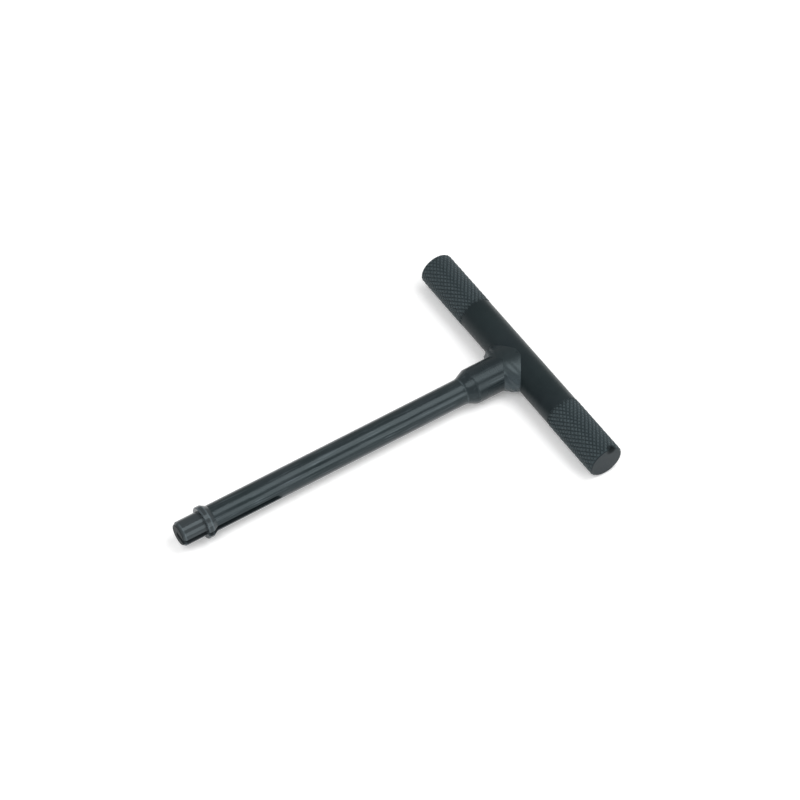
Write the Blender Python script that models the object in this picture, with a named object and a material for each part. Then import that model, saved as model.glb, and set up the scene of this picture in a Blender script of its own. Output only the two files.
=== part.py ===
"""T-handle wrench: a knurled crossbar welded to a turned shank with a slotted, collared nose.

The tool lies flat. +X runs along the shank from the nose to the crossbar, +Y along the crossbar
and +Z is up. The origin is on the resting surface, at the middle of the tool's footprint.
Sizes are in metres.
"""

import math

import bmesh
import bpy
from mathutils import Matrix, Vector

# Crossbar: one round bar, plain in the middle, with a knurled grip at each end.
CROSSBAR_LENGTH = 0.1050
CROSSBAR_DIAMETER = 0.0129
KNURL_LENGTH = 0.0260
KNURL_RISE = 0.00015
KNURL_RUNOUT = 0.0004
CROSSBAR_CHAMFER = 0.0007

# Shank: one turning, with a boss at the crossbar, a stop collar and a pilot nose.
REACH = 0.1385
BOSS_DIAMETER = 0.0130
BOSS_LENGTH = 0.0207
BOSS_CONE_LENGTH = 0.0037
SHANK_DIAMETER = 0.0095
COLLAR_DIAMETER = 0.0117
COLLAR_RIM_LENGTH = 0.0017
COLLAR_BACK_LENGTH = 0.00185
COLLAR_CHAMFER = 0.00025
NOSE_DIAMETER = 0.00885
NOSE_LENGTH = 0.0090
NOSE_CHAMFER_LENGTH = 0.0010
NOSE_CHAMFER_DEPTH = 0.0008

# Drive slot: cut by a slitting saw that enters on the -Y side and passes the axis.
SLOT_LENGTH = 0.0380
SLOT_WIDTH = 0.0021
SLOT_PAST_AXIS = 0.0008
SAW_RADIUS = 0.0315
SAW_OVERRUN = 0.0020

# Weld: a fillet in each crotch between the boss and the crossbar, fading out above and below.
WELD_LEG_ON_BOSS = 0.0037
WELD_LEG_ON_CROSSBAR = 0.0035
WELD_FADE_ANGLE = math.radians(72.0)

JOINT_GAP = 0.0003

TURNED_SIDES = 72
ARC_STEPS = 14
WELD_STEPS = 24
SMOOTH_ANGLE = math.radians(22.0)

CROSSBAR_RADIUS = CROSSBAR_DIAMETER / 2
KNURL_RADIUS = CROSSBAR_RADIUS + KNURL_RISE
BOSS_RADIUS = BOSS_DIAMETER / 2
SHANK_RADIUS = SHANK_DIAMETER / 2
COLLAR_RADIUS = COLLAR_DIAMETER / 2
NOSE_RADIUS = NOSE_DIAMETER / 2

# The two axes cross here. The widest round of the tool touches the resting surface.
AXIS_HEIGHT = max(KNURL_RADIUS, BOSS_RADIUS, COLLAR_RADIUS)
TEE = Vector(((REACH - KNURL_RADIUS) / 2, 0.0, AXIS_HEIGHT))
NOSE_END = TEE.x - REACH

# Turning about +Z and laying it down: Z to +X for the shank, Z to +Y for the crossbar.
LAY_ALONG_X = Matrix.Rotation(math.radians(90.0), 4, "Y")
LAY_ALONG_Y = Matrix.Rotation(math.radians(-90.0), 4, "X")


def clear_scene():
    """Remove every object that the file opened with."""
    for existing in list(bpy.data.objects):
        bpy.data.objects.remove(existing, do_unlink=True)


def steel(name, color, roughness):
    """A Principled material for blackened steel."""
    material = bpy.data.materials.new(name)
    material.use_nodes = True
    shader = material.node_tree.nodes["Principled BSDF"]
    shader.inputs["Base Color"].default_value = (*color, 1.0)
    shader.inputs["Roughness"].default_value = roughness
    shader.inputs["Metallic"].default_value = 1.0
    material.diffuse_color = (*color, 1.0)
    return material


def add_object(name, shape, material=None):
    """Store a bmesh as an object of the scene, with its faces pointing out."""
    bmesh.ops.recalc_face_normals(shape, faces=shape.faces)
    mesh = bpy.data.meshes.new(name)
    shape.to_mesh(mesh)
    shape.free()
    if material is not None:
        mesh.materials.append(material)
    mesh.shade_smooth()
    mesh.set_sharp_from_angle(angle=SMOOTH_ANGLE)
    added = bpy.data.objects.new(name, mesh)
    bpy.context.scene.collection.objects.link(added)
    return added


def turned(profile, lay):
    """Spin an outline of (radius, station) pairs about the Z axis and lay it along its own axis.

    The outline starts and ends on the axis, so the solid is closed.
    """
    shape = bmesh.new()
    corners = [shape.verts.new((radius, 0.0, station)) for radius, station in profile]
    edges = [shape.edges.new(pair) for pair in zip(corners, corners[1:])]
    bmesh.ops.spin(
        shape,
        geom=corners + edges,
        cent=(0.0, 0.0, 0.0),
        axis=(0.0, 0.0, 1.0),
        angle=math.tau,
        steps=TURNED_SIDES,
        use_merge=True,
    )
    bmesh.ops.remove_doubles(shape, verts=shape.verts, dist=1e-7)
    bmesh.ops.transform(shape, matrix=lay, verts=shape.verts)
    return shape


def cut(target, cutter, name):
    """Subtract a hidden helper from an object with a live Boolean."""
    cutter.hide_render = True
    cutter.display_type = "WIRE"
    boolean = target.modifiers.new(name, "BOOLEAN")
    boolean.operation = "DIFFERENCE"
    boolean.solver = "EXACT"
    boolean.object = cutter


def crossbar_profile():
    """Half outline of the crossbar, from its -Y end to its +Y end."""
    half = CROSSBAR_LENGTH / 2
    grip = half - KNURL_LENGTH
    end = [
        (0.0, -half),
        (KNURL_RADIUS - CROSSBAR_CHAMFER, -half),
        (KNURL_RADIUS, CROSSBAR_CHAMFER - half),
        (KNURL_RADIUS, -grip - KNURL_RUNOUT),
        (CROSSBAR_RADIUS, -grip),
    ]
    return end + [(radius, -station) for radius, station in reversed(end)]


def make_crossbar(material):
    """The round handle bar, its ends raised a little where the knurl is rolled in."""
    crossbar = add_object("crossbar", turned(crossbar_profile(), LAY_ALONG_Y), material)
    crossbar.location = TEE
    return crossbar


def shank_profile():
    """Half outline of the shank from the tee to the nose, by distance from the tee."""
    collar_face = REACH - NOSE_LENGTH
    rim_front = collar_face - COLLAR_CHAMFER
    rim_back = rim_front - COLLAR_RIM_LENGTH
    return [
        (0.0, 0.0),
        (BOSS_RADIUS, 0.0),
        (BOSS_RADIUS, BOSS_LENGTH),
        (SHANK_RADIUS, BOSS_LENGTH + BOSS_CONE_LENGTH),
        (SHANK_RADIUS, rim_back - COLLAR_BACK_LENGTH),
        (COLLAR_RADIUS, rim_back),
        (COLLAR_RADIUS, rim_front),
        (COLLAR_RADIUS - COLLAR_CHAMFER, collar_face),
        (NOSE_RADIUS, collar_face),
        (NOSE_RADIUS, REACH - NOSE_CHAMFER_LENGTH),
        (NOSE_RADIUS - NOSE_CHAMFER_DEPTH, REACH),
        (0.0, REACH),
    ]


def saw_cutter():
    """The space that the slitting saw sweeps, extruded to the slot's width.

    The floor runs level past the axis and then rises along the saw's own arc until it leaves
    the shank's side, which is what draws the slot's far end to a point.
    """
    floor = SLOT_PAST_AXIS
    depth = floor + SHANK_RADIUS
    clear_side = -(COLLAR_RADIUS + SAW_OVERRUN)
    centre_y = floor - SAW_RADIUS
    rise = math.sqrt(SAW_RADIUS**2 - (SAW_RADIUS - depth) ** 2)
    saw_centre = NOSE_END + SLOT_LENGTH - rise
    exit_angle = math.acos((clear_side - centre_y) / SAW_RADIUS)
    outline = [(NOSE_END - SAW_OVERRUN, clear_side), (NOSE_END - SAW_OVERRUN, floor)]
    for step in range(ARC_STEPS + 1):
        angle = exit_angle * step / ARC_STEPS
        along = saw_centre + SAW_RADIUS * math.sin(angle)
        outline.append((along, centre_y + SAW_RADIUS * math.cos(angle)))
    shape = bmesh.new()
    bottom = TEE.z - SLOT_WIDTH / 2
    side = shape.faces.new([shape.verts.new((x, y, bottom)) for x, y in outline])
    grown = bmesh.ops.extrude_face_region(shape, geom=[side])
    raised = [item for item in grown["geom"] if isinstance(item, bmesh.types.BMVert)]
    bmesh.ops.translate(shape, vec=(0.0, 0.0, SLOT_WIDTH), verts=raised)
    return add_object("saw_cutter", shape)


def cope_cutter():
    """A round bar one joint gap larger than the crossbar, which hollows the boss's end to fit it."""
    radius = CROSSBAR_RADIUS + JOINT_GAP
    half = BOSS_DIAMETER
    profile = [(0.0, -half), (radius, -half), (radius, half), (0.0, half)]
    cutter = add_object("cope_cutter", turned(profile, LAY_ALONG_Y))
    cutter.location = TEE
    return cutter


def make_shank(material):
    """The turned shank: coped boss, plain length, stop collar and slotted pilot nose."""
    lay = Matrix.Rotation(math.pi, 4, "Z") @ LAY_ALONG_X
    shank = add_object("shank", turned(shank_profile(), lay), material)
    shank.location = TEE
    cut(shank, cope_cutter(), "Cope")
    cut(shank, saw_cutter(), "Saw slot")
    return shank


def make_weld(name, side, material):
    """A crescent fillet in one crotch of the tee, on the side of -Y or +Y.

    Each level section is a right-angled triangle, whose square corner sits one joint gap off
    both rounds. One leg lies along the boss and the other along the crossbar, and both shrink
    to nothing where the rounds meet almost level, above and below.
    """
    boss = BOSS_RADIUS + JOINT_GAP
    bar = CROSSBAR_RADIUS + JOINT_GAP
    top = min(boss, bar) * math.sin(WELD_FADE_ANGLE)
    shape = bmesh.new()
    sections = []
    for step in range(1, WELD_STEPS):
        swing = math.pi * step / WELD_STEPS
        level = -top * math.cos(swing)
        fullness = math.sin(swing)
        across = side * math.sqrt(boss**2 - level**2)
        along = -math.sqrt(bar**2 - level**2)
        toe_on_boss = (along - WELD_LEG_ON_BOSS * fullness, across, level)
        toe_on_bar = (along, across + side * WELD_LEG_ON_CROSSBAR * fullness, level)
        corners = [(along, across, level), toe_on_boss, toe_on_bar]
        sections.append([shape.verts.new(corner) for corner in corners])
    for lower, upper in zip(sections, sections[1:]):
        for corner in range(3):
            following = (corner + 1) % 3
            shape.faces.new((lower[corner], lower[following], upper[following], upper[corner]))
    for last, level in ((sections[0], -top), (sections[-1], top)):
        tip_across = side * math.sqrt(boss**2 - level**2)
        tip = shape.verts.new((-math.sqrt(bar**2 - level**2), tip_across, level))
        for corner in range(3):
            shape.faces.new((last[corner], last[(corner + 1) % 3], tip))
    weld = add_object(name, shape, material)
    weld.location = TEE
    return weld


def main():
    """Build the whole tool."""
    clear_scene()
    bar_steel = steel("blackened_bar", (0.045, 0.052, 0.054), 0.42)
    shank_steel = steel("blackened_turning", (0.060, 0.068, 0.072), 0.32)
    weld_steel = steel("blackened_weld", (0.075, 0.085, 0.085), 0.55)
    make_crossbar(bar_steel)
    make_shank(shank_steel)
    make_weld("weld_fillet_left", -1.0, weld_steel)
    make_weld("weld_fillet_right", 1.0, weld_steel)


if __name__ == "__main__":
    main()
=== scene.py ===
"""T-handle wrench in blackened steel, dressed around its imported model.

+X runs along the shank from the nose to the crossbar, +Y along the crossbar and +Z is up.
Sizes are in metres. Every piece rides on the model's one rigid body.
"""

import logging
import math
from dataclasses import dataclass, field
from enum import Enum

import bmesh
import bpy
from mathutils import Matrix, Vector


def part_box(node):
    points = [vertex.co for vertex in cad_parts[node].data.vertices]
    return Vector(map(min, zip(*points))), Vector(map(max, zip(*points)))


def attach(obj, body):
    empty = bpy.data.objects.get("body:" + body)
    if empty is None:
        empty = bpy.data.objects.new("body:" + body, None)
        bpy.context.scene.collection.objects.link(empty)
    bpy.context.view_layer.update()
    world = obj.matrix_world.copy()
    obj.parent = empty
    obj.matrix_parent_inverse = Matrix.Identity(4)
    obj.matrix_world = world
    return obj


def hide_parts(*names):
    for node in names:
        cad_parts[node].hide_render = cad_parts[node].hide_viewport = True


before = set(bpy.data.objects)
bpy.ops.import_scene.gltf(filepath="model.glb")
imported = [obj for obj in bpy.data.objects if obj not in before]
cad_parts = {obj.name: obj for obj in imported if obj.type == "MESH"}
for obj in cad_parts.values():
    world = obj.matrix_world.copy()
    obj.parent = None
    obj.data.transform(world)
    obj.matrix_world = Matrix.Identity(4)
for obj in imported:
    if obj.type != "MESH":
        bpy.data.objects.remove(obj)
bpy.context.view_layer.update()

BODY = "root"
LOG = logging.getLogger("wrench")
TOUCHING = 1e-6  # points closer than this become one
TURNED_CREASE, WELD_CREASE = 24.0, 40.0  # degrees: an edge sharper than this stays sharp
WHITE = (1.0, 1.0, 1.0, 1.0)

Item = bpy.types.Object
Socket = bpy.types.NodeSocket
Value = Socket | float
Pair = tuple[float, float]
Point = tuple[float, float, float]
Outline = list[Pair]


class Axis(Enum):
    """The direction that a round piece is turned about."""

    SHANK = (1.0, 0.0, 0.0)
    CROSSBAR = (0.0, 1.0, 0.0)

    def place(self, station: float, radius: float) -> Vector:
        """A point at a station along the axis and a radius above it."""
        return Vector(self.value) * station + Vector((0.0, 0.0, radius))


class Tooling(Enum):
    """The marks that the lathe left, as how strongly a pattern is squeezed along each axis."""

    TURNED_SHANK = (1.0, 0.012, 0.012)
    TURNED_BAR = (0.012, 1.0, 0.012)
    AS_WELDED = (1.0, 1.0, 1.0)


@dataclass(frozen=True)
class Layer:
    """What one overlay, a real mark or painted light, does to a finish where it is at its strongest.

    Attributes:
        colour: Its colour, as linear red, green and blue.
        cover: How much of the finish it hides.
        rough: What it adds to the roughness.
    """

    colour: Point
    cover: float = 1.0
    rough: float = 0.0


class WearAndPaintedLight(Enum):
    """What rolling, welding and use laid over the oxide, with painted shade and painted highlights laid
    the same way.
    """

    ROLLED = Layer((0.0325, 0.0450, 0.0495))
    RUBBED_TIP = Layer((0.0475, 0.0620, 0.0675))
    # Painted shade: darker at the bottom of the knurl's grooves.
    GROOVE_DIRT = Layer((0.0180, 0.0250, 0.0280), cover=0.5)
    # Painted shade: the crossbar's end faces made darker.
    FACED_END = Layer((0.0048, 0.0090, 0.0118), cover=0.85)
    STAIN = Layer((0.0030, 0.0045, 0.0050), rough=0.5)
    STREAK = Layer((0.0640, 0.0800, 0.0890), rough=-0.05)
    WELD_HEAT = Layer((0.0080, 0.0125, 0.0145), cover=0.40, rough=0.12)
    WORKED_NOSE = Layer((0.0460, 0.0530, 0.0570), cover=0.60, rough=-0.06)
    # Paler lines on turned edges: rubbed on the collar and nose, painted highlight on the boss's shoulder
    # and at the neck.
    BRIGHT_EDGE = Layer((0.0900, 0.1120, 0.1230))
    # Painted shade: the nose's end face, turned away from the lights, made darker.
    NOSE_END = Layer((0.0040, 0.0068, 0.0075), cover=0.8, rough=0.48)
    # Darker over the weld's top, and painted shade down its far side, away from the lights.
    WELD_SOOT = Layer((0.0065, 0.0115, 0.0130), rough=0.14)


class Bench:
    """The hand operations that all the pieces share."""

    @staticmethod
    def clear() -> None:
        """Leave edit mode, and deselect every object."""
        if bpy.context.object is not None and bpy.context.object.mode != "OBJECT":
            bpy.ops.object.mode_set(mode="OBJECT")
        bpy.ops.object.select_all(action="DESELECT")

    @staticmethod
    def select_all() -> None:
        """Select all of the mesh that is open."""
        bpy.ops.mesh.select_all(action="SELECT")

    @staticmethod
    def take(piece: Item) -> None:
        """Make a piece the only selected one, and the active one.

        Args:
            piece: The object.
        """
        Bench.clear()
        piece.select_set(True)
        bpy.context.view_layer.objects.active = piece

    @staticmethod
    def edit(piece: Item) -> None:
        """Open a piece in edit mode with all of it selected.

        Args:
            piece: The object.
        """
        Bench.take(piece)
        bpy.ops.object.mode_set(mode="EDIT")
        bpy.ops.mesh.select_mode(type="VERT")
        Bench.select_all()

    @staticmethod
    def close() -> None:
        """Merge what coincides, turn the faces outwards and leave edit mode."""
        Bench.select_all()
        bpy.ops.mesh.remove_doubles(threshold=TOUCHING)
        bpy.ops.mesh.normals_make_consistent(inside=False)
        bpy.ops.object.mode_set(mode="OBJECT")

    @staticmethod
    def settle(piece: Item) -> None:
        """Move a piece's place, turn and size into its mesh."""
        Bench.take(piece)
        bpy.ops.object.transform_apply(location=True, rotation=True, scale=True)

    @staticmethod
    def finish(piece: Item, crease: float) -> None:
        """Clean a piece's mesh, and shade it smooth.

        Args:
            piece: The object.
            crease: The angle in degrees over which an edge stays sharp.
        """
        Bench.edit(piece)
        Bench.close()
        bpy.ops.object.shade_smooth_by_angle(angle=math.radians(crease))

    @staticmethod
    def draw(name: str, points: list[Vector]) -> Item:
        """Draw a line by extruding one corner to the next.

        Args:
            name: The new object's name.
            points: The corners, in order.

        Returns:
            The object, open in edit mode.
        """
        Bench.clear()
        bpy.ops.mesh.primitive_plane_add(size=0.001)
        piece = bpy.context.active_object
        piece.name = name
        Bench.edit(piece)
        bpy.ops.mesh.merge(type="CENTER")
        bpy.ops.transform.translate(value=points[0])
        for start, end in zip(points, points[1:]):
            bpy.ops.mesh.extrude_vertices_move(TRANSFORM_OT_translate={"value": end - start})
        return piece

    @staticmethod
    def turn(name: str, outline: Outline, axis: Axis, centre: Vector, sides: int) -> Item:
        """Spin an outline into a closed round piece.

        Args:
            name: The new object's name.
            outline: (station, radius) corners, from one end of the axis to the other.
            axis: The axis that it is turned about.
            centre: The point of that axis at station 0.
            sides: The number of facets round it.

        Returns:
            The turned object.
        """
        points = [centre + axis.place(station, radius) for station, radius in outline]
        piece = Bench.draw(name, points)
        Bench.select_all()
        bpy.ops.mesh.spin(steps=sides, angle=math.tau, center=centre, axis=axis.value)
        Bench.close()
        return piece

    @staticmethod
    def combine(piece: Item, tool: Item, operation: str) -> None:
        """Cut, join or intersect a piece with a tool shape, and discard the tool.

        Args:
            piece: The object to change.
            tool: The shape that changes it.
            operation: DIFFERENCE, UNION or INTERSECT.
        """
        Bench.take(piece)
        modifier = piece.modifiers.new("combine", "BOOLEAN")
        modifier.operation = operation
        modifier.solver = "MANIFOLD"
        modifier.object = tool
        bpy.ops.object.modifier_apply(modifier=modifier.name)
        bpy.data.objects.remove(tool, do_unlink=True)

    @staticmethod
    def softened(outline: Outline, radii: list[float], steps: int = 4) -> Outline:
        """Round the corners of an outline, as a form tool or a file leaves them.

        Args:
            outline: The corners.
            radii: For each inner corner, how far back along its sides the rounding starts.
            steps: The number of short sides in each rounded corner.

        Returns:
            The outline with its inner corners rounded.
        """
        most_of_side, lead = 0.45, 0.1
        corners = [Vector(corner) for corner in outline]
        made = [corners[0]]
        for before, corner, after, radius in zip(corners, corners[1:], corners[2:], radii):
            back = min(radius, (before - corner).length * most_of_side)
            ahead = min(radius, (after - corner).length * most_of_side)
            start = corner + (before - corner).normalized() * back
            end = corner + (after - corner).normalized() * ahead
            made.append(start + (start - corner) * lead)
            for step in range(steps + 1):
                share = step / steps
                made.append(start.lerp(corner, share).lerp(corner.lerp(end, share), share))
            made.append(end + (end - corner) * lead)
        made.append(corners[-1])
        return [(corner.x, corner.y) for corner in made]


class Graph:
    """A material's node graph, with short ways to add what the finishes need."""

    def __init__(self, name: str) -> None:
        """Start a material with a Principled shader.

        Args:
            name: The material's name.
        """
        self.material = bpy.data.materials.new(name)
        self.material.use_nodes = True
        self.tree = self.material.node_tree
        self.shader = self.tree.nodes["Principled BSDF"]

    def add(self, kind: str, **settings: object) -> bpy.types.Node:
        """Add a node.

        Args:
            kind: Its type, without the ShaderNode in front.
            settings: Its properties, by name.

        Returns:
            The node.
        """
        node = self.tree.nodes.new("ShaderNode" + kind)
        for name, value in settings.items():
            setattr(node, name, value)
        return node

    @staticmethod
    def preset(node: bpy.types.Node, **values: object) -> None:
        """Set the values of a node's own inputs, by name with _ for each space."""
        for name, value in values.items():
            node.inputs[name.replace("_", " ")].default_value = value

    def plug(self, source: Socket, target: Socket) -> None:
        """Link one socket to another."""
        self.tree.links.new(source, target)

    def feed(self, name: str, source: Socket) -> None:
        """Link a socket to one of the shader's inputs."""
        self.plug(source, self.shader.inputs[name])

    def fed(self, name: str) -> Socket:
        """The socket that feeds one of the shader's inputs so far."""
        return self.shader.inputs[name].links[0].from_socket

    def place(self, centre: Vector, stretch: Point = (1.0, 1.0, 1.0)) -> Socket:
        """Object coordinates measured from a centre.

        Args:
            centre: The point that becomes the origin.
            stretch: What each axis is multiplied by afterwards.

        Returns:
            The vector socket.
        """
        source = self.add("TexCoord")
        mapping = self.add("Mapping")
        self.preset(mapping, Scale=stretch, Location=[-c * s for c, s in zip(centre, stretch)])
        self.plug(source.outputs["Object"], mapping.inputs["Vector"])
        return mapping.outputs["Vector"]

    def axes(self, centre: Vector) -> dict[str, Socket]:
        """Object coordinates measured from a centre, one axis at a time.

        Args:
            centre: The point that becomes the origin.

        Returns:
            The value sockets, by X, Y and Z.
        """
        split = self.add("SeparateXYZ")
        self.plug(self.place(centre), split.inputs[0])
        return {name: split.outputs[name] for name in "XYZ"}

    def length(self, vector: Socket) -> Socket:
        """How long a vector is.

        Args:
            vector: The vector socket.

        Returns:
            The value socket.
        """
        node = self.add("VectorMath", operation="LENGTH")
        self.plug(vector, node.inputs[0])
        return node.outputs["Value"]

    def noise(self, at: Socket, scale: float, detail: float, rough: float = 0.5) -> Socket:
        """A noise value at a place.

        Args:
            at: The vector socket.
            scale: Features per metre.
            detail: Octaves of finer noise.
            rough: How strong the finer octaves are.

        Returns:
            The value socket, about 0.3 to 0.7.
        """
        node = self.add("TexNoise")
        self.preset(node, Scale=scale, Detail=detail, Roughness=rough)
        self.plug(at, node.inputs["Vector"])
        return node.outputs["Fac"]

    def spread(self, value: Socket, low: Pair, high: Pair) -> Socket:
        """Map a range of a value to another range, clamped.

        Args:
            value: The value socket.
            low: The value at the low end, and what it becomes.
            high: The value at the high end, and what it becomes.

        Returns:
            The mapped value socket.
        """
        node = self.add("MapRange", clamp=True)
        self.preset(node, From_Min=low[0], From_Max=high[0], To_Min=low[1], To_Max=high[1])
        self.plug(value, node.inputs["Value"])
        return node.outputs["Result"]

    def mix(self, share: Socket, first: Socket | Point, second: Socket | Point) -> Socket:
        """Mix two colours.

        Args:
            share: How much of the second there is.
            first: The first colour.
            second: The second colour.

        Returns:
            The colour socket.
        """
        node = self.add("Mix", data_type="RGBA", clamp_factor=True)
        self.plug(share, node.inputs[0])
        for index, colour in ((6, first), (7, second)):
            if isinstance(colour, Socket):
                self.plug(colour, node.inputs[index])
            else:
                node.inputs[index].default_value = (*colour, 1.0)
        return node.outputs[2]

    def maths(self, operation: str, *values: Value) -> Socket:
        """Work out one value from others.

        Args:
            operation: The name of the Math node's operation.
            values: What it works on.

        Returns:
            The value socket.
        """
        node = self.add("Math", operation=operation)
        for index, value in enumerate(values):
            if isinstance(value, Socket):
                self.plug(value, node.inputs[index])
            else:
                node.inputs[index].default_value = value
        return node.outputs["Value"]

    def bump(self, height: Socket, depth: float) -> None:
        """Put a relief on the shader.

        Args:
            height: The relief, 0 to 1.
            depth: What a height of 1 stands for, in metres.
        """
        node = self.add("Bump")
        self.preset(node, Strength=1.0, Distance=depth)
        self.plug(height, node.inputs["Height"])
        self.feed("Normal", node.outputs["Normal"])

    def lay(self, overlay: WearAndPaintedLight, share: Socket) -> None:
        """Lay one overlay, real marks and painted light alike, over the finish so far.

        Args:
            overlay: What it does to the colour and the roughness.
            share: How strong it is at each place, 0 to 1.
        """
        layer = overlay.value
        cover = self.maths("MULTIPLY", share, layer.cover)
        self.feed("Base Color", self.mix(cover, self.fed("Base Color"), layer.colour))
        change = self.maths("MULTIPLY", share, layer.rough)
        self.feed("Roughness", self.maths("ADD", self.fed("Roughness"), change))


@dataclass(frozen=True)
class BlackOxide:
    """Steel under a chemical black finish: mottled slate, with marks of the tool.

    Attributes:
        name: The material's name.
        deep: The darkest colour of the oxide.
        pale: Its lightest colour.
        tint: A colour that it drifts towards in soft clouds.
        rough_low: Roughness where it is handled smooth.
        rough_high: Roughness where the oxide is thickest.
        tooling: Which way the tool marks run.
        mark_pitch: Distance between tool marks.
        mark_depth: Depth of the tool marks.
        mark_change: How much the roughness changes from mark to mark.
        grain_depth: Depth of the fine pitting.
        gloss: How strongly it mirrors the lights, 0.5 being a clear varnish.
        sheen: The colour of what it mirrors.
        mottle: Mottled patches per metre.
        speckle: Fine specks per metre.
        drift: Soft clouds of the tint per metre.
    """

    name: str
    deep: Point
    pale: Point
    tint: Point
    rough_low: float
    rough_high: float
    tooling: Tooling
    mark_pitch: float = 0.0004
    mark_depth: float = 0.000004
    mark_change: float = 0.06
    grain_depth: float = 0.000006
    gloss: float = 0.3
    sheen: Point = (0.80, 0.95, 1.0)
    mottle: float = 95.0
    speckle: float = 1900.0
    drift: float = 42.0

    def graph(self, centre: Vector) -> Graph:
        """Build the finish.

        Args:
            centre: A point on the axis of the piece that wears it.

        Returns:
            The graph, whose material is ready and can be added to.
        """
        graph = Graph(self.name)
        at = graph.place(centre)
        along = graph.place(centre, self.tooling.value)
        clouds = graph.noise(at, self.mottle, 4.0, 0.55)
        specks = graph.noise(at, self.speckle, 3.0, 0.6)
        marks = graph.noise(along, 1.0 / self.mark_pitch, 2.0, 0.6)
        tints = graph.noise(at, self.drift, 2.0)
        mottled = graph.mix(graph.spread(clouds, (0.32, 0.0), (0.68, 1.0)), self.deep, self.pale)
        tinted = graph.mix(graph.spread(tints, (0.42, 0.0), (0.72, 0.7)), mottled, self.tint)
        dusty = graph.spread(specks, (0.35, 0.0), (0.75, 0.35))
        graph.feed("Base Color", graph.mix(dusty, tinted, self.pale))
        base = graph.spread(clouds, (0.3, self.rough_low), (0.7, self.rough_high))
        change = graph.maths("MULTIPLY_ADD", marks, self.mark_change, -self.mark_change / 2)
        graph.feed("Roughness", graph.maths("ADD", base, change))
        relief = graph.maths("MULTIPLY", marks, self.mark_depth / self.grain_depth)
        graph.bump(graph.maths("ADD", relief, specks), self.grain_depth)
        sheen = (*self.sheen, 1.0)
        graph.preset(graph.shader, Specular_IOR_Level=self.gloss, Specular_Tint=sheen)
        return graph


@dataclass
class Part:
    """Something that is built, dressed, and fixed to the model's body.

    Attributes:
        centre: Where the axes of crossbar and shank cross.
    """

    centre: Vector

    def fix(self, piece: Item, material: bpy.types.Material, slot: str, *nodes: str) -> None:
        """Dress a finished piece, and put it in the place of the model's own nodes.

        Args:
            piece: The finished object.
            material: What it is covered in.
            slot: The record's material slot that it belongs to; not used.
            nodes: The nodes that it stands for.
        """
        piece.data.materials.clear()
        piece.data.materials.append(material)
        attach(piece, BODY)
        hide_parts(*nodes)


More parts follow.
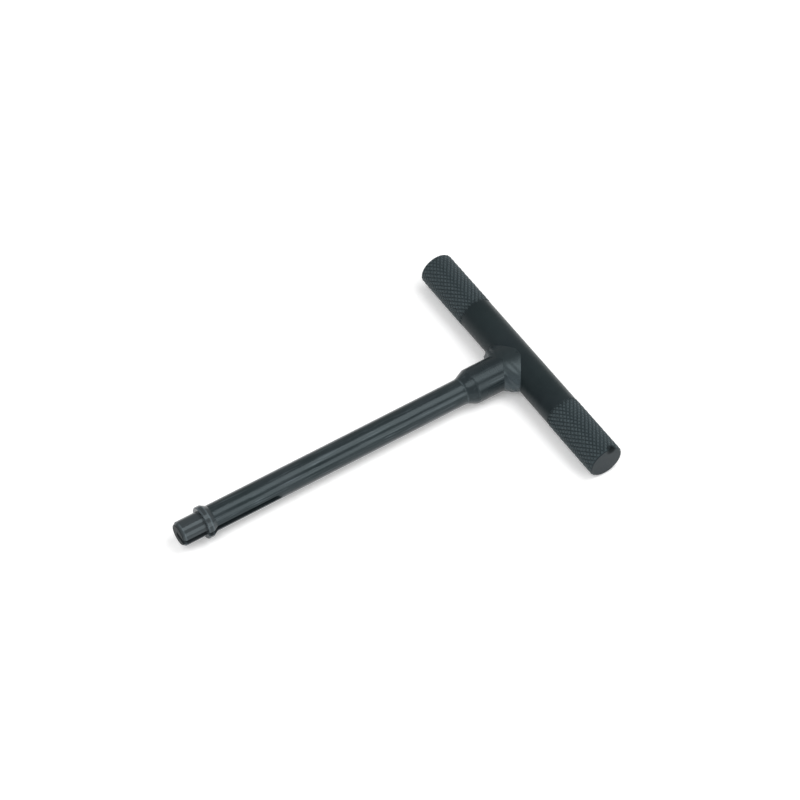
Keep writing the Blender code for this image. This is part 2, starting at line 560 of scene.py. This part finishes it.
@dataclass
class Knurl:
    """A diamond knurl: the relief of one rolled grip, closed at both ends.

    Attributes:
        crest: Radius over the diamonds' tips.
        root: Radius at the bottom of the grooves.
        teeth: Diamonds round the bar.
        row: Length of one diamond along the bar.
        flat: Width of a worn tip, as a share of the diamond.
        cap: Height that the flanks leave for the tip.
        cap_border: Width of the bevel round the tip.
        cap_rise: Height of that bevel.
        cap_peak: What the middle of the tip rises beyond the bevel.
    """

    crest: float
    root: float
    teeth: int = 25
    row: float = 0.00222
    flat: float = 0.42
    cap: float = 0.00005
    cap_border: float = 0.00008
    cap_rise: float = 0.00004
    cap_peak: float = 0.00001

    @property
    def pitch(self) -> float:
        """Width of one diamond, measured round the roots."""
        return math.tau * self.root / self.teeth

    def diamond(self) -> Item:
        """Shape one diamond from a four-sided cone, its tip pointing to -X.

        Returns:
            The diamond and its neighbour half a step on, open below.
        """
        Bench.clear()
        flank = self.crest - self.root - self.cap
        bpy.ops.mesh.primitive_cone_add(
            vertices=4,
            radius1=1.0,
            radius2=self.flat,
            depth=1.0,
            end_fill_type="NGON",
            rotation=(0.0, -math.pi / 2, 0.0),
        )
        piece = bpy.context.active_object
        Bench.settle(piece)
        Bench.edit(piece)
        bpy.ops.transform.translate(value=(-0.5, 0.0, 0.0))
        bpy.ops.transform.resize(
            value=(flank, self.row / 2, self.pitch / 2), center_override=(0.0, 0.0, 0.0)
        )
        self._select_level(piece, 0.0)
        bpy.ops.mesh.delete(type="ONLY_FACE")
        self._select_level(piece, -flank)
        bpy.ops.mesh.inset(thickness=self.cap_border, depth=self.cap_rise)
        bpy.ops.mesh.poke(offset=self.cap_peak)
        Bench.select_all()
        half_step = (0.0, self.row / 2, self.pitch / 2)
        bpy.ops.mesh.duplicate_move(TRANSFORM_OT_translate={"value": half_step})
        Bench.select_all()
        bpy.ops.mesh.remove_doubles(threshold=TOUCHING)
        bpy.ops.object.mode_set(mode="OBJECT")
        return piece

    @staticmethod
    def _select_level(piece: Item, level: float) -> None:
        """Select the one face that lies flat at a level of X.

        Args:
            piece: The object, open in edit mode.
            level: The X of the face.
        """
        nearness = 1e-7
        bpy.ops.mesh.select_mode(type="FACE")
        bpy.ops.mesh.select_all(action="DESELECT")
        shape = bmesh.from_edit_mesh(piece.data)
        for face in shape.faces:
            face.select_set(all(abs(vert.co.x - level) < nearness for vert in face.verts))
        bmesh.update_edit_mesh(piece.data)

    def sleeve(self, start: float, end: float, centre: Vector) -> Item:
        """Repeat the diamond along and round the bar, and close the ends.

        Args:
            start: Where the sleeve starts, as a station along the crossbar.
            end: Where it ends.
            centre: The bar's middle.

        Returns:
            A closed knurled tube with no bore.
        """
        spare_rows, seam = 2, 3e-6
        piece = self.diamond()
        piece.name = "knurl_sleeve"
        rows = math.ceil((end - start) / self.row) + spare_rows
        self._repeat(piece, (0.0, 0.0, self.pitch), self.teeth)
        self._repeat(piece, (0.0, self.row, 0.0), rows)
        Bench.take(piece)
        wrap = piece.modifiers.new("wrap", "SIMPLE_DEFORM")
        wrap.deform_method = "BEND"
        wrap.deform_axis = "Y"
        # The neighbours half a step on make the strip half a diamond longer than one turn.
        wrap.angle = math.tau * (self.teeth + 0.5) / self.teeth
        bpy.ops.object.modifier_apply(modifier=wrap.name)
        Bench.edit(piece)
        bpy.ops.mesh.remove_doubles(threshold=seam)
        sides = [vert.co.x for vert in piece.data.vertices]
        across = (max(sides) + min(sides)) / 2
        bpy.ops.transform.translate(value=centre + Vector((-across, start - self.row, 0.0)))
        for station, outwards in ((start, -1.0), (end, 1.0)):
            Bench.select_all()
            bpy.ops.mesh.bisect(
                plane_co=centre + Vector((0.0, station, 0.0)),
                plane_no=(0.0, outwards, 0.0),
                use_fill=True,
                clear_outer=True,
            )
        Bench.close()
        return piece

    @staticmethod
    def _repeat(piece: Item, step: Point, count: int) -> None:
        """Repeat a piece in a row, and merge each copy with the last.

        Args:
            piece: The object.
            step: From one copy to the next.
            count: How many there are in the end.
        """
        Bench.take(piece)
        row = piece.modifiers.new("row", "ARRAY")
        row.count = count
        row.use_relative_offset = False
        row.use_constant_offset = True
        row.constant_offset_displace = step
        row.use_merge_vertices = True
        row.merge_threshold = TOUCHING
        bpy.ops.object.modifier_apply(modifier=row.name)


@dataclass
class Crossbar(Part):
    """The round handle bar with a diamond-knurled grip at each end.

    Attributes:
        crest_radius: Over the knurl.
        grip: Length of each knurled grip.
        belly: How far in and down from the chamfer's edge its round swells, as shares of it.
        groove: How far the knurl's grooves reach below the plain bar.
        runout: Length over which the knurl dies out.
        tongue: How far the middle runs on inside a grip, and how far under its grooves.
        spare: What the trimming shapes stand clear by.
        hair: What keeps the knurl inside the model's box.
        stain: Where an old dark stain lies on one end face, from the bar's middle.
        stain_size: Radius of its full dark, and of its edge.
        tip_band: How far under the crest the rubbed tips start, and are at their brightest.
        groove_shade_band: How far under the plain bar the painted shade in the grooves is full, and ends.
        face_band: How far from an end the painted shade on its face starts, and is full.
        fade: Where the rolled colour starts and is full, from the grip's inner end.
    """

    length: float
    crest_radius: float
    plain_radius: float = 0.00645
    grip: float = 0.0260
    chamfer: float = 0.0007
    belly: Pair = (0.4, 0.35)
    groove: float = 0.00022
    runout: float = 0.0006
    tongue: Pair = (0.0035, 0.0003)
    spare: float = 0.0002
    hair: float = 0.00001
    stain: Point = (0.0018, -0.0525, 0.0055)
    stain_size: Pair = (0.0010, 0.0023)
    tip_band: Pair = (0.00014, 0.00003)
    # Painted shade in the knurl's grooves and on the end faces.
    groove_shade_band: Pair = (0.0002, 0.00004)
    face_band: Pair = (0.0003, 0.0001)
    fade: Pair = (-0.0002, 0.0020)
    sides: int = 144
    finish: BlackOxide = field(
        default=BlackOxide(
            name="blackened_bar",
            deep=(0.0092, 0.0140, 0.0160),
            pale=(0.0162, 0.0225, 0.0250),
            tint=(0.0100, 0.0178, 0.0178),
            rough_low=0.34,
            rough_high=0.42,
            gloss=0.185,
            tooling=Tooling.TURNED_BAR,
            mark_depth=0.000001,
            grain_depth=0.000003,
        )
    )

    @property
    def half(self) -> float:
        """From the middle to an end."""
        return self.length / 2

    @property
    def inner(self) -> float:
        """From the middle to the inner end of a grip."""
        return self.half - self.grip

    @property
    def root(self) -> float:
        """Radius at the bottom of the knurl's grooves."""
        return self.plain_radius - self.groove

    def core(self) -> Item:
        """Turn the plain middle, which runs on at a smaller radius inside the grips.

        Returns:
            The middle.
        """
        shoulder = 0.00035
        reach, depth = self.tongue
        side = [
            (self.inner + reach, 0.0),
            (self.inner + reach, self.root - depth),
            (self.inner + self.runout, self.root - depth),
            (self.inner + shoulder, self.root),
            (self.inner, self.plain_radius),
        ]
        outline = [(-station, radius) for station, radius in side] + side[::-1]
        return Bench.turn("knurled_crossbar", outline, Axis.CROSSBAR, self.centre, self.sides)

    def grip_end(self) -> Item:
        """Make one knurled grip on the +Y side, trimmed by the chamfers at its ends.

        Returns:
            The grip.
        """
        lead_in = 0.00005
        along, down = self.belly
        knurl = Knurl(crest=self.crest_radius - self.hair, root=self.root)
        piece = knurl.sleeve(self.inner - self.spare, self.half + 2 * self.spare, self.centre)
        clear = self.crest_radius + self.spare
        outline = [
            (self.inner, 0.0),
            (self.inner, self.root + lead_in),
            (self.inner + self.runout, clear),
            (self.half - self.chamfer - self.spare, clear),
            (self.half - self.chamfer * along, self.crest_radius - self.chamfer * down),
            (self.half, self.crest_radius - self.chamfer),
            (self.half, 0.0),
        ]
        limit = Bench.turn("grip_limit", outline, Axis.CROSSBAR, self.centre, self.sides)
        Bench.combine(piece, limit, "INTERSECT")
        return piece

    def build(self) -> Item:
        """Join the middle and the two grips.

        Returns:
            The finished crossbar.
        """
        bar = self.core()
        first = self.grip_end()
        Bench.take(first)
        bpy.ops.object.duplicate()
        second = bpy.context.active_object
        Bench.edit(second)
        bpy.ops.transform.rotate(value=math.pi, orient_axis="Z", center_override=self.centre)
        bpy.ops.object.mode_set(mode="OBJECT")
        Bench.combine(bar, first, "UNION")
        Bench.combine(bar, second, "UNION")
        Bench.finish(bar, TURNED_CREASE)
        return bar

    def dress(self) -> bpy.types.Material:
        """Cover it in oxide, rubbed paler on the tips of the knurl, with painted shade in its grooves and
        on its end faces.

        Returns:
            The material.
        """
        graph = self.finish.graph(self.centre)
        radius = graph.length(graph.place(self.centre, (1.0, 0.0, 1.0)))
        station = graph.maths("ABSOLUTE", graph.axes(self.centre)["Y"])
        spot = graph.length(graph.place(self.centre + Vector(self.stain)))
        start, full = (self.inner + offset for offset in self.fade)
        on_grip = graph.spread(station, (start, 0.0), (full, 1.0))
        start, full = (self.crest_radius - offset for offset in self.tip_band)
        tips = graph.spread(radius, (start, 0.0), (full, 1.0))
        # Painted shade, darker at the bottom of the knurl's grooves.
        full, end = (self.plain_radius - offset for offset in self.groove_shade_band)
        grooves = graph.spread(radius, (full, 1.0), (end, 0.0))
        # Painted shade on the bar's end faces.
        start, full = (self.half - offset for offset in self.face_band)
        faces = graph.spread(station, (start, 0.0), (full, 1.0))
        full, end = self.stain_size
        graph.lay(WearAndPaintedLight.ROLLED, on_grip)
        graph.lay(WearAndPaintedLight.RUBBED_TIP, graph.maths("MULTIPLY", tips, on_grip))
        # The groove and end-face layers below are painted shade.
        graph.lay(WearAndPaintedLight.GROOVE_DIRT, grooves)
        graph.lay(WearAndPaintedLight.FACED_END, faces)
        graph.lay(WearAndPaintedLight.STAIN, graph.spread(spot, (full, 1.0), (end, 0.0)))
        return graph.material


@dataclass
class Shank(Part):
    """The turned shank: coped boss, plain length, stop collar and slotted pilot nose.

    Attributes:
        reach: From the crossbar's axis to the end of the nose.
        boss_length: From the crossbar's axis to the boss's shoulder.
        rim_length: Of the collar's round rim.
        back_length: Of the cone behind the rim.
        collar_chamfer: At the collar's front edge.
        nose_length: From the collar's face to the end.
        slot_length: Of the saw slot, from the end of the nose.
        slot_past_axis: How far beyond the axis the slot's floor lies.
        saw_radius: Of the saw that runs out at the slot's far end.
        spare: What the saw stands clear by.
        bar_radius: Of the crossbar that the boss is coped to.
        cope_gap: Between the cope and the crossbar.
        edge: How far back the crisp corners are broken.
        shoulder_round: How far back the boss's shoulder is rounded.
        neck_round: How far back the inner corner of cone and shank is rounded.
        shoulder_highlight: How bright the painted highlight on the boss's shoulder is, 0 to 1. The neck's
            painted highlight and the collar's and nose's rubbed edges are alike.
        edge_band: Half the width of a bright edge at its brightest, and in all.
    """

    reach: float
    boss_radius: float = 0.0065
    boss_length: float = 0.0207
    cone_length: float = 0.0037
    shank_radius: float = 0.00475
    collar_radius: float = 0.00585
    rim_length: float = 0.0017
    back_length: float = 0.00185
    collar_chamfer: float = 0.00025
    nose_radius: float = 0.004425
    nose_length: float = 0.0090
    nose_chamfer_length: float = 0.0010
    nose_chamfer_depth: float = 0.0008
    slot_length: float = 0.0380
    slot_width: float = 0.0021
    slot_past_axis: float = 0.0008
    saw_radius: float = 0.0315
    saw_steps: int = 28
    spare: float = 0.002
    bar_radius: float = 0.00645
    cope_gap: float = 0.0001
    edge: float = 0.00007
    shoulder_round: float = 0.0005
    neck_round: float = 0.0011
    # Painted highlights on the boss's shoulder and neck; the collar and nose edges are rubbed.
    shoulder_highlight: float = 0.08
    neck_highlight: float = 0.40
    rim_wear: float = 0.72
    nose_wear: float = 0.62
    edge_band: Pair = (0.00010, 0.00045)
    sides: int = 144
    finish: BlackOxide = field(
        default=BlackOxide(
            name="blackened_turning",
            deep=(0.0120, 0.0175, 0.0200),
            pale=(0.0205, 0.0275, 0.0305),
            tint=(0.0140, 0.0225, 0.0230),
            rough_low=0.11,
            rough_high=0.23,
            gloss=0.26,
            tooling=Tooling.TURNED_SHANK,
            mark_pitch=0.0006,
            mark_change=0.05,
            mark_depth=0.0000002,
            grain_depth=0.000002,
        )
    )

    def outline(self) -> Outline:
        """Half outline by distance from the crossbar's axis, towards the nose.

        Returns:
            (station, radius) corners, the inner ones rounded.
        """
        face = self.reach - self.nose_length
        front = face - self.collar_chamfer
        back = front - self.rim_length
        corners = [
            (0.0, 0.0),
            (0.0, self.boss_radius),
            (self.boss_length, self.boss_radius),
            (self.boss_length + self.cone_length, self.shank_radius),
            (back - self.back_length, self.shank_radius),
            (back, self.collar_radius),
            (front, self.collar_radius),
            (face, self.collar_radius - self.collar_chamfer),
            (face, self.nose_radius),
            (self.reach - self.nose_chamfer_length, self.nose_radius),
            (self.reach, self.nose_radius - self.nose_chamfer_depth),
            (self.reach, 0.0),
        ]
        crisp = [self.edge] * 7
        return Bench.softened(corners, [self.edge, self.shoulder_round, self.neck_round, *crisp])

    def cope(self) -> Item:
        """Turn the round hollow in the boss's end that fits it to the crossbar.

        Returns:
            The shape to cut away.
        """
        radius = self.bar_radius + self.cope_gap
        half = self.boss_radius * 1.5
        outline = [(-half, 0.0), (-half, radius), (half, radius), (half, 0.0)]
        return Bench.turn("cope", outline, Axis.CROSSBAR, self.centre, self.sides)

    def saw(self) -> Item:
        """Draw the space that the slitting saw sweeps: a level floor that rises along its arc.

        Returns:
            The shape to cut away.
        """
        nose = self.centre.x - self.reach
        floor = self.slot_past_axis
        clear = -(self.collar_radius + self.spare)
        centre_y = floor - self.saw_radius
        deep = floor + self.shank_radius
        rise = math.sqrt(self.saw_radius**2 - (self.saw_radius - deep) ** 2)
        saw_x = nose + self.slot_length - rise
        exit_angle = math.acos((clear - centre_y) / self.saw_radius)
        low = self.centre.z - self.slot_width / 2
        before = nose - self.spare
        points = [Vector((before, clear, low)), Vector((before, floor, low))]
        for step in range(self.saw_steps + 1):
            angle = exit_angle * step / self.saw_steps
            across = centre_y + self.saw_radius * math.cos(angle)
            points.append(Vector((saw_x + self.saw_radius * math.sin(angle), across, low)))
        piece = Bench.draw("saw", points)
        Bench.select_all()
        bpy.ops.mesh.edge_face_add()
        upwards = (0.0, 0.0, self.slot_width)
        bpy.ops.mesh.extrude_region_move(TRANSFORM_OT_translate={"value": upwards})
        Bench.close()
        return piece

    def build(self) -> Item:
        """Turn the shank, then cope and slot it.

        Returns:
            The finished shank.
        """
        outline = [(-station, radius) for station, radius in self.outline()]
        piece = Bench.turn("turned_shank", outline, Axis.SHANK, self.centre, self.sides)
        Bench.combine(piece, self.cope(), "DIFFERENCE")
        Bench.combine(piece, self.saw(), "DIFFERENCE")
        Bench.finish(piece, TURNED_CREASE)
        return piece

    def streaks(self, graph: Graph) -> Socket:
        """Long fine streaks that come and go in patches.

        Args:
            graph: The finish that they lie on.

        Returns:
            How strong they are, as a value socket.
        """
        lines = graph.noise(graph.place(self.centre, (0.045, 1.0, 1.0)), 1500.0, 3.0, 0.55)
        patches = graph.noise(graph.place(self.centre, (0.5, 1.0, 1.0)), 240.0, 2.0)
        return graph.maths(
            "MULTIPLY",
            graph.spread(lines, (0.52, 0.0), (0.70, 1.0)),
            graph.spread(patches, (0.40, 0.15), (0.62, 0.8)),
        )

    def rubbed_and_highlit_edges(self, graph: Graph, along: Socket) -> Socket:
        """The turned edges made bright unevenly: rubbed on the collar and nose, with a painted highlight
        on the boss's shoulder and at the neck.

        Args:
            graph: The finish that they lie on.
            along: X from the crossbar's axis.

        Returns:
            How bright they are, as a value socket.
        """
        neck_offset = 0.0002
        collar = self.reach - self.nose_length - self.collar_chamfer
        edges = {
            self.boss_length: self.shoulder_highlight,
            self.boss_length + self.cone_length + neck_offset: self.neck_highlight,
            collar: self.rim_wear,
            collar - self.rim_length: self.rim_wear,
            self.reach - self.nose_chamfer_length: self.nose_wear,
        }
        bright, end = self.edge_band
        overlay = 0.0
        for edge, amount in edges.items():
            off = graph.maths("ABSOLUTE", graph.maths("ADD", along, edge))
            band = graph.spread(off, (bright, amount), (end, 0.0))
            overlay = graph.maths("MAXIMUM", overlay, band)
        patches = graph.noise(graph.place(self.centre), 520.0, 2.0)
        return graph.maths("MULTIPLY", overlay, graph.spread(patches, (0.35, 0.25), (0.62, 1.0)))

    def dress(self) -> bpy.types.Material:
        """Cover it in streaked oxide, dulled on the boss by the weld and rubbed on the nose, with painted
        highlights on the boss's shoulder and neck and painted shade on the nose's end face.

        Returns:
            The material.
        """
        graph = self.finish.graph(self.centre)
        along = graph.axes(self.centre)["X"]
        heat_end, heat_full = -self.boss_length - self.cone_length, -self.boss_length + 0.002
        collar_back = self.nose_length - self.reach + 0.0028
        end_face = 0.0001 - self.reach
        worked = graph.spread(along, (collar_back, 1.0), (collar_back + 0.001, 0.0))
        graph.lay(WearAndPaintedLight.STREAK, self.streaks(graph))
        graph.lay(WearAndPaintedLight.WELD_HEAT, graph.spread(along, (heat_end, 0.0), (heat_full, 1.0)))
        graph.lay(WearAndPaintedLight.WORKED_NOSE, worked)
        # Rubbed collar and nose edges, and painted highlights on the boss's shoulder and neck.
        graph.lay(WearAndPaintedLight.BRIGHT_EDGE, self.rubbed_and_highlit_edges(graph, along))
        # Painted shade on the nose's end face.
        graph.lay(WearAndPaintedLight.NOSE_END, graph.spread(along, (end_face, 1.0), (end_face + 0.0002, 0.0)))
        return graph.material


@dataclass
class WeldBead(Part):
    """The weld that runs round the joint of boss and bar: deep at the sides, flush at the top.

    Attributes:
        toe_at_crown: Reach along the boss at top and bottom.
        toe_at_side: Reach along the boss at the sides.
        leg_on_bar: Reach along the crossbar at the sides.
        crown_angle: Where its edge lies round the crossbar at top and bottom.
        proud: How far it stands off the steel everywhere.
        ripple: Height of the ripples at the sides.
        crown_ripple: Their height at top and bottom.
        ripple_slant: How far a ripple leans round the boss from toe to toe.
        ripple_wander: How unevenly the ripples are spaced.
        lump: How strongly the lumps change the ripples' height.
        hollow: How far its hidden back lies from the root towards the toes.
        tuck: How far that back is drawn in towards the shank's axis.
        darkness: How dark it is over the top, and how deep the painted shade is down its far side.
        dark_top: Z where the darkening of the top starts, and is full.
        shade_far: Y where the painted shade of the far side starts, and is full.
    """

    boss_radius: float = 0.0065
    bar_radius: float = 0.00645
    toe_at_crown: float = 0.0070
    toe_at_side: float = 0.0105
    leg_on_bar: float = 0.0038
    crown_angle: float = math.radians(5.5)
    proud: float = 0.00003
    ripple: float = 0.00052
    crown_ripple: float = 0.00006
    ripple_count: int = 14
    ripple_slant: float = 0.9
    ripple_wander: float = 0.35
    fine_count: int = 46
    lump: float = 0.35
    hollow: float = 0.35
    tuck: float = 0.10
    darkness: Pair = (0.95, 0.80)
    dark_top: Pair = (0.0030, 0.0056)
    shade_far: Pair = (0.0010, 0.0045)
    around: int = 352
    across: int = 20
    finish: BlackOxide = field(
        default=BlackOxide(
            name="blackened_weld",
            deep=(0.0200, 0.0280, 0.0325),
            pale=(0.0440, 0.0560, 0.0650),
            tint=(0.0230, 0.0350, 0.0380),
            rough_low=0.19,
            rough_high=0.29,
            gloss=0.46,
            tooling=Tooling.AS_WELDED,
            grain_depth=0.000012,
        )
    )

    def section(self, turn: float) -> tuple[Vector, Vector, Vector]:
        """The toe on the boss, the root and the toe on the bar at one angle round the boss.

        Args:
            turn: The angle from the top of the boss, towards +Y.

        Returns:
            The three corners, measured from the crossing of the axes.
        """
        side, up = math.sin(turn), math.cos(turn)
        fullness = abs(side) ** 0.8
        over_bar = min(1.0, abs(self.boss_radius * up) / self.bar_radius)
        angle = math.hypot(math.acos(over_bar), self.crown_angle * (1.0 - abs(side)) ** 0.5)
        root = Vector((
            -self.bar_radius * math.sin(angle),
            self.boss_radius * side,
            math.copysign(self.bar_radius * math.cos(angle), up),
        ))
        toe = self.toe_at_crown + (self.toe_at_side - self.toe_at_crown) * fullness
        on_boss = Vector((-toe, self.boss_radius * side, self.boss_radius * up))
        on_bar = root + Vector((0.0, math.copysign(self.leg_on_bar * fullness, side), 0.0))
        return on_boss, root, on_bar

    def relief(self, turn: float, out: float) -> float:
        """How high the ripples and lumps stand.

        Args:
            turn: The angle round the boss.
            out: 0 at the toe on the boss, 1 at the toe on the bar.

        Returns:
            The height, as a share of a whole ripple.
        """
        along = abs(turn) - self.ripple_slant * out
        wander = self.ripple_wander * math.sin(4 * turn)
        ripple = abs(math.sin(self.ripple_count * along / 2 + wander))
        fine = math.sin(self.fine_count * along + 1.5 * math.sin(math.pi * out))
        lump = math.sin(5 * turn + 2.0) * math.sin(2 * math.pi * out + 3 * turn) + 0.25 * fine
        return 0.25 + 0.75 * ripple + self.lump * lump * abs(math.sin(turn))

    def surface(self, turn: float, share: float) -> Vector:
        """A point of the bead's skin.

        Args:
            turn: The angle round the boss.
            share: 0 at the toe on the boss, 0.5 at the toe on the bar, and back inside to 1.

        Returns:
            The point, measured from the crossing of the axes.
        """
        on_boss, root, on_bar = self.section(turn)
        inwards = Vector((0.0, -root.y, -root.z)) * self.tuck
        inside = root.lerp((on_boss + on_bar) / 2, self.hollow) + inwards
        if share > 0.5:
            back = (share - 0.5) * 2
            return on_bar.lerp(inside, back).lerp(inside.lerp(on_boss, back), back)
        out = share * 2
        flat = on_boss.lerp(on_bar, out)
        fullness = abs(math.sin(turn))
        height = self.crown_ripple + (self.ripple - self.crown_ripple) * fullness
        raised = self.proud + math.sin(math.pi * out) * height * self.relief(turn, out)
        from_axis = Vector((0.0, flat.y, flat.z)).normalized()
        outwards = from_axis.lerp((flat - inside).normalized(), fullness)
        return flat + outwards.normalized() * raised

    def build(self) -> Item:
        """Shape a ring into the bead.

        Returns:
            The finished bead.
        """
        Bench.clear()
        bpy.ops.mesh.primitive_torus_add(
            major_segments=self.around,
            minor_segments=self.across,
            major_radius=1.0,
            minor_radius=0.25,
            rotation=(0.0, math.pi / 2, 0.0),
        )
        piece = bpy.context.active_object
        piece.name = "weld_bead"
        Bench.settle(piece)
        for vert in piece.data.vertices:
            turn = math.atan2(vert.co.y, vert.co.z)
            out = math.hypot(vert.co.y, vert.co.z) - 1.0
            share = math.atan2(vert.co.x, out) / math.tau % 1.0
            vert.co = self.centre + self.surface(turn, share)
        Bench.finish(piece, WELD_CREASE)
        return piece

    def dress(self) -> bpy.types.Material:
        """Cover it in paler oxide, darker over the top, with painted shade down the far side.

        Returns:
            The material.
        """
        graph = self.finish.graph(self.centre)
        axes = graph.axes(self.centre)
        (top_start, top_full), (far_start, far_full) = self.dark_top, self.shade_far
        top = graph.spread(axes["Z"], (top_start, 0.0), (top_full, self.darkness[0]))
        # Painted shade down the weld's far side, away from the lights.
        far = graph.spread(axes["Y"], (far_start, 0.0), (far_full, self.darkness[1]))
        graph.lay(WearAndPaintedLight.WELD_SOOT, graph.maths("MAXIMUM", top, far))
        return graph.material


@dataclass(frozen=True)
class Softbox:
    """A soft rectangular light.

    Attributes:
        direction: From the tool to the light.
        distance: How far off it is.
        size: Its width and height.
        power: Its power in watts.
    """

    name: str
    direction: Point
    distance: float
    size: Pair
    power: float

    def hang(self, aim: Vector) -> None:
        """Put the light up.

        Args:
            aim: The point that it faces.
        """
        data = bpy.data.lights.new(self.name, "AREA")
        data.shape = "RECTANGLE"
        data.size, data.size_y = self.size
        data.energy = self.power
        light = bpy.data.objects.new(self.name, data)
        bpy.context.scene.collection.objects.link(light)
        towards = Vector(self.direction).normalized()
        light.location = aim + towards * self.distance
        light.rotation_euler = towards.to_track_quat("Z", "Y").to_euler()


@dataclass
class Studio:
    """The floor, the soft lights and the camera.

    Attributes:
        aim: What the lights and the camera face.
        floor_side: Length and width of the floor.
        floor_drop: How far it lies below the tool's lowest point.
        floor_tone: How pale it is.
        floor_glow: How much it glows of itself, which keeps it evenly white.
        room: Strength of the even light from all round.
        azimuth: The camera's angle round the tool.
        elevation: Its angle over the floor.
        roll: Its tilt about its own axis.
        distance: How far off it is.
        slide: How far it is moved sideways and up.
        lens: Its focal length in millimetres.
    """

    aim: Vector
    floor_side: float = 8.0
    floor_drop: float = 0.0001
    floor_tone: float = 0.96
    floor_glow: float = 0.17
    lights: tuple[Softbox, ...] = (
        Softbox("overhead", (0.35, -0.17, 0.92), 1.1, (0.66, 0.66), 5.3),
        Softbox("side", (0.35, -0.86, 0.38), 1.1, (0.66, 0.60), 4.0),
        Softbox("fill", (-0.50, -0.20, 0.84), 1.1, (0.55, 0.55), 3.3),
    )
    room: float = 0.52
    azimuth: float = math.radians(56.0464)
    elevation: float = math.radians(51.3564)
    roll: float = math.radians(0.9627)
    distance: float = 0.93585
    slide: Pair = (-0.041776, -0.013321)
    lens: float = 119.636

    def floor(self) -> None:
        """Lay the pale matt sheet that the tool rests on."""
        Bench.clear()
        place = (self.aim.x, self.aim.y, -self.floor_drop)
        bpy.ops.mesh.primitive_plane_add(size=self.floor_side, location=place)
        sheet = bpy.context.active_object
        sheet.name = "floor"
        graph = Graph("pale_sheet")
        tone = (self.floor_tone,) * 3 + (1.0,)
        graph.preset(graph.shader, Base_Color=tone, Roughness=0.9, Specular_IOR_Level=0.1)
        graph.preset(graph.shader, Emission_Color=WHITE, Emission_Strength=self.floor_glow)
        sheet.data.materials.append(graph.material)

    def surroundings(self) -> None:
        """Light everything evenly and dimly from the room."""
        world = bpy.data.worlds.new("room")
        bpy.context.scene.world = world
        world.use_nodes = True
        Graph.preset(world.node_tree.nodes["Background"], Color=WHITE, Strength=self.room)

    def camera(self) -> None:
        """Aim a long lens down at the tool from beyond its nose."""
        upwards = Vector((0.0, 0.0, 1.0))
        flat = Vector((-math.cos(self.azimuth), -math.sin(self.azimuth), 0.0))
        back = math.cos(self.elevation) * flat + math.sin(self.elevation) * upwards
        level = upwards.cross(back).normalized()
        upright = back.cross(level)
        right = math.cos(self.roll) * level + math.sin(self.roll) * upright
        above = math.cos(self.roll) * upright - math.sin(self.roll) * level
        data = bpy.data.cameras.new("camera")
        data.lens = self.lens
        data.sensor_width = 36.0
        data.clip_start = 0.01
        data.dof.use_dof = False
        camera = bpy.data.objects.new("camera", data)
        bpy.context.scene.collection.objects.link(camera)
        pose = Matrix((right, above, back)).transposed().to_4x4()
        pose.translation = self.aim + back * self.distance + right * self.slide[0] + above * self.slide[1]
        camera.matrix_world = pose
        bpy.context.scene.camera = camera

    def build(self) -> None:
        """Set up the whole studio."""
        self.floor()
        for light in self.lights:
            light.hang(self.aim)
        self.surroundings()
        self.camera()
        bpy.context.scene.view_settings.view_transform = "Standard"


def main() -> None:
    """Build every piece in order from the model's sizes, and log each piece's face count."""
    logging.basicConfig(level=logging.INFO, format="%(message)s")
    bar_low, bar_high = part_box("crossbar")
    shank_low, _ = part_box("shank")
    tee = (bar_low + bar_high) / 2
    size = bar_high - bar_low
    parts = (
        (Crossbar(centre=tee, length=size.y, crest_radius=size.x / 2), "crossbar_steel", ("crossbar",)),
        (Shank(centre=tee, reach=tee.x - shank_low.x), "shank_steel", ("shank",)),
        (WeldBead(centre=tee), "weld_steel", ("weld_fillet_left", "weld_fillet_right")),
    )
    for part, slot, nodes in parts:
        piece = part.build()
        part.fix(piece, part.dress(), slot, *nodes)
        LOG.info("%s: %d faces, stands for %s", piece.name, len(piece.data.polygons), ", ".join(nodes))
    Studio(aim=tee).build()
    LOG.info("studio: floor, three soft lights and a camera")


if __name__ == "__main__":
    main()
